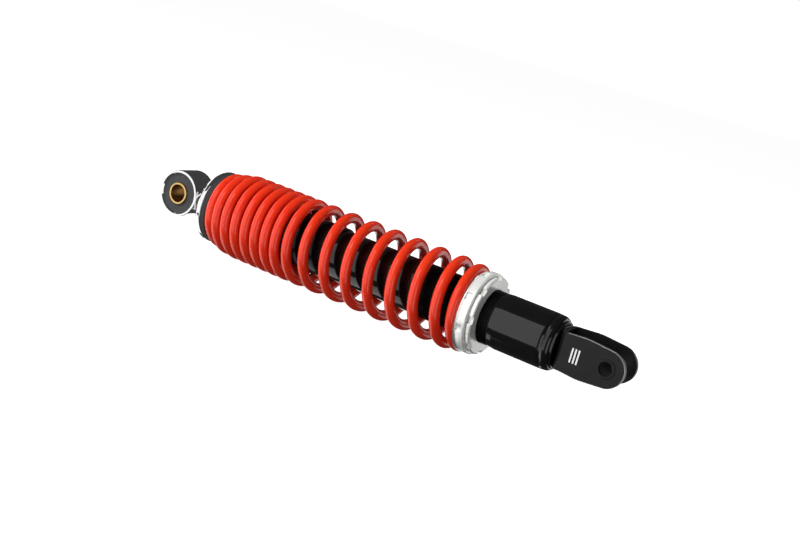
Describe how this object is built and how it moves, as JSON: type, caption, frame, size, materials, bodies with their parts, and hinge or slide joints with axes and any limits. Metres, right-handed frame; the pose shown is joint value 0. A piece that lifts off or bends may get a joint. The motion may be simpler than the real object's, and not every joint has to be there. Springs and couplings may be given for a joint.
{
  "type": "motorcycle rear shock absorber",
  "caption": "Coil-over rear shock absorber with a rubber-bushed eye, chromed spring cup, progressive red coil spring, threaded preload rings, black damper body and a forked lower clevis.",
  "frame": {"origin": "centre of the upper eye's bolt bore, on the middle plane", "axes": "+X along the damper from the eye to the clevis, +Y along both bolt holes, +Z square to them"},
  "size_m": [0.3578, 0.0588, 0.0588],
  "materials": {
    "eye_chrome": "polished chrome plate",
    "bush_rubber": "moulded, slight sheen",
    "sleeve_brass": "turned, bright edge",
    "cup_chrome": "polished chrome plate",
    "plated_steel": "zinc plated",
    "isolator_rubber": "moulded",
    "sleeve_black": "smooth moulded plastic",
    "spring_red": "glossy powder coat",
    "rod_chrome": "hard chrome, ground",
    "bump_foam": "fine-celled foam",
    "stop_nylon": "nylon",
    "valve_steel": "spring steel, bright",
    "sintered_steel": "sintered, dull",
    "band_ptfe": "filled low-friction plastic",
    "body_black": "glossy black paint",
    "seal_rubber": "nitrile, smooth",
    "guide_alloy": "machined",
    "cylinder_steel": "honed tube",
    "ring_alloy": "machined and polished",
    "clevis_black": "satin black coat"
  },
  "bodies": {
    "damper_body": {"body_tube": "body_black", "dust_wiper": "seal_rubber", "seal_washer": "valve_steel", "oil_seal": "seal_rubber", "rod_guide": "guide_alloy", "guide_o_ring": "seal_rubber", "inner_cylinder": "cylinder_steel", "base_valve": "sintered_steel", "base_valve_shims": "valve_steel", "base_valve_bolt": "plated_steel", "base_valve_nut": "plated_steel", "body_end_cap": "body_black", "clevis": "clevis_black", "clevis_thread_insert": "clevis_black"},
    "glide_band": {"piston_band": "band_ptfe"},
    "rod_assembly": {"upper_eye": "eye_chrome", "eye_bush": "bush_rubber", "top_spring_cup": "cup_chrome", "upper_spring_seat": "plated_steel", "spring_isolator": "isolator_rubber", "dust_sleeve": "sleeve_black", "damper_rod": "rod_chrome", "rod_lock_nut": "plated_steel", "bump_stop_washer": "plated_steel", "bump_stop": "bump_foam", "rebound_stop": "stop_nylon", "piston_washer": "valve_steel", "compression_shims": "valve_steel", "piston": "sintered_steel", "rebound_shims": "valve_steel", "piston_nut": "plated_steel"},
    "bolt_sleeve": {"eye_sleeve": "sleeve_brass"},
    "spring_carrier": {"spring_seat_washer": "ring_alloy", "coil_spring": "spring_red"},
    "preload_nut": {"preload_ring": "ring_alloy"},
    "lock_nut": {"lock_ring": "ring_alloy"}
  },
  "joints": [
    {"name": "damper_stroke", "type": "slide", "parent": "damper_body", "child": "glide_band", "axis": [1, 0, 0], "range_m": [0, 0.06], "stiffness_N_per_m": 20000, "springref_m": -0.008, "deforming": ["coil_spring"]},
    {"name": "rod_turn", "type": "hinge", "parent": "glide_band", "child": "rod_assembly", "pos_m": [0.17, 0, 0], "axis": [1, 0, 0], "continuous": true},
    {"name": "bush_twist", "type": "hinge", "parent": "rod_assembly", "child": "bolt_sleeve", "pos_m": [0, 0, 0], "axis": [0, 1, 0], "range_deg": [-12, 12], "stiffness_Nm_per_rad": 25},
    {"name": "preload_slide", "type": "slide", "parent": "damper_body", "child": "spring_carrier", "axis": [1, 0, 0], "range_m": [0, 0.003]},
    {"name": "preload_turn", "type": "hinge", "parent": "spring_carrier", "child": "preload_nut", "pos_m": [0.2401, 0, 0], "axis": [1, 0, 0], "range_deg": [-1, 721]},
    {"name": "lock_turn", "type": "hinge", "parent": "spring_carrier", "child": "lock_nut", "pos_m": [0.2451, 0, 0], "axis": [1, 0, 0], "range_deg": [-1, 721]}
  ],
  "couplings": [
    {"joint": "preload_turn", "follows": "preload_slide", "rad_per_m": 4188.8},
    {"joint": "lock_turn", "follows": "preload_slide", "rad_per_m": 4188.8}
  ]
}
